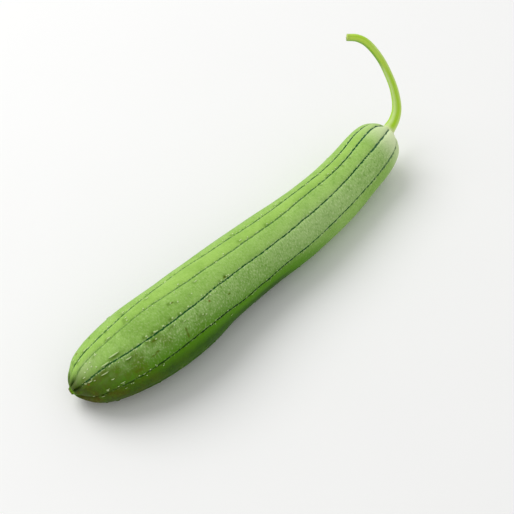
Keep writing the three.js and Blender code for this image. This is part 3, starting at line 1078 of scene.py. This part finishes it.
def stem_material():
    nodes = Nodes("stem_stalk")
    uv = nodes.add("ShaderNodeUVMap", uv_map="skin").outputs[0]
    split = nodes.add("ShaderNodeSeparateXYZ", uv)
    share, turn = split.outputs[0], split.outputs[1]
    around = nodes.times(turn, 2 * math.pi * STEM_RIDGES)
    ridge = nodes.math("COSINE", nodes.plus(around, nodes.times(share, STEM_RIDGE_TURN)))
    colour = nodes.mix(nodes.step(ridge, *STEM_RIDGE_STEP), STEM_GREEN, STEM_YELLOW)
    for stripe, middle, half, start, end in STEM_STRIPES:
        aside = nodes.math("SUBTRACT", nodes.math("FRACT", nodes.plus(turn, 0.5 - middle)), 0.5)
        edge_start, edge_end = (half * edge for edge in STRIPE_EDGE)
        inside = nodes.step(nodes.math("ABSOLUTE", aside), edge_start, edge_end, STRIPE_STRENGTH, 0.0)
        begun = nodes.step(share, start, start + STRIPE_FADE)
        ended = nodes.step(share, end - STRIPE_FADE, end, 1.0, 0.0)
        colour = nodes.mix(nodes.times(inside, begun, ended), colour, stripe)
    stretched = nodes.vector(nodes.times(share, STREAKS_ALONG), nodes.times(turn, STREAKS_AROUND))
    streaks = nodes.noise(stretched, *STREAK_NOISE)
    colour = nodes.mix(nodes.step(streaks, *STREAK_STEP), colour, STEM_PALE)
    mottle = nodes.noise(nodes.add("ShaderNodeTexCoord").outputs["Object"], *MOTTLE_NOISE)
    colour = nodes.mix(nodes.step(mottle, *MOTTLE_STEP), colour, STEM_GREEN)
    colour = nodes.mix(nodes.step(share, *RIM_STEP), colour, STEM_RIM)
    colour = nodes.mix(nodes.step(share, *COLLAR_STEP), colour, COLLAR)
    heights = [nodes.times(noise, part) for noise, part in zip([streaks, mottle], STEM_BUMP_SHARES)]
    nodes.bump(nodes.plus(*heights), STEM_BUMP_STRENGTH, STEM_BUMP_HEIGHT * MM)
    return nodes.finish(
        Base_Color=colour,
        Roughness=STEM_ROUGHNESS,
        Specular_IOR_Level=STEM_SPECULAR,
    )


# The stage

def make_stage():
    bpy.ops.mesh.primitive_plane_add(size=FLOOR_SIZE, location=(0, 0, -FLOOR_DROP * MM))
    floor = bpy.context.object
    floor.name = "floor"
    nodes = Nodes("floor_paper")
    place = nodes.add("ShaderNodeTexCoord").outputs["Object"]
    colour = nodes.mix(nodes.noise(place, FLOOR_NOISE), FLOOR_WHITE, FLOOR_WHITEST)
    floor.data.materials.append(nodes.finish(Base_Color=colour, Roughness=FLOOR_ROUGHNESS))


def add_light(name, direction, distance, size, power):
    data = bpy.data.lights.new(name, "AREA")
    data.shape = "DISK"
    data.size = size
    data.energy = power
    light = bpy.data.objects.new(name, data)
    towards = Vector(direction).normalized()
    light.location = CAMERA_TARGET + towards * distance
    light.rotation_euler = (-towards).to_track_quat("-Z", "Y").to_euler()
    bpy.context.scene.collection.objects.link(light)


def make_camera():
    azimuth, elevation = math.radians(CAMERA_AZIMUTH), math.radians(CAMERA_ELEVATION)
    back = Vector(
        (
            math.sin(azimuth) * math.cos(elevation),
            -math.cos(azimuth) * math.cos(elevation),
            math.sin(elevation),
        )
    )
    data = bpy.data.cameras.new("camera")
    data.lens = CAMERA_LENS
    data.sensor_width = CAMERA_SENSOR
    camera = bpy.data.objects.new("camera", data)
    camera.location = CAMERA_TARGET + back * CAMERA_DISTANCE
    camera.rotation_euler = (-back).to_track_quat("-Z", "Y").to_euler()
    bpy.context.scene.collection.objects.link(camera)
    bpy.context.scene.camera = camera


def make_world():
    world = bpy.data.worlds.new("studio")
    world.use_nodes = True
    background = world.node_tree.nodes["Background"]
    background.inputs["Color"].default_value = (1, 1, 1, 1)
    background.inputs["Strength"].default_value = WORLD_STRENGTH
    bpy.context.scene.world = world
    bpy.context.scene.view_settings.view_transform = "Standard"


def dress(piece, material, slot, *nodes):
    bpy.context.scene.collection.objects.link(piece)
    piece.data.materials.append(material)
    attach(piece, "root")
    if nodes:
        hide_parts(*nodes)


make_camera()
marks = tubercle_places()
skin = skin_material()
dress(make_fruit(marks), skin, "skin", "fruit")
dress(make_tubercles(marks), skin, "skin")
dress(make_stem(), stem_material(), "stem", "stem")
make_stage()
make_world()
add_light("key", KEY_DIRECTION, KEY_DISTANCE, KEY_SIZE, KEY_POWER)
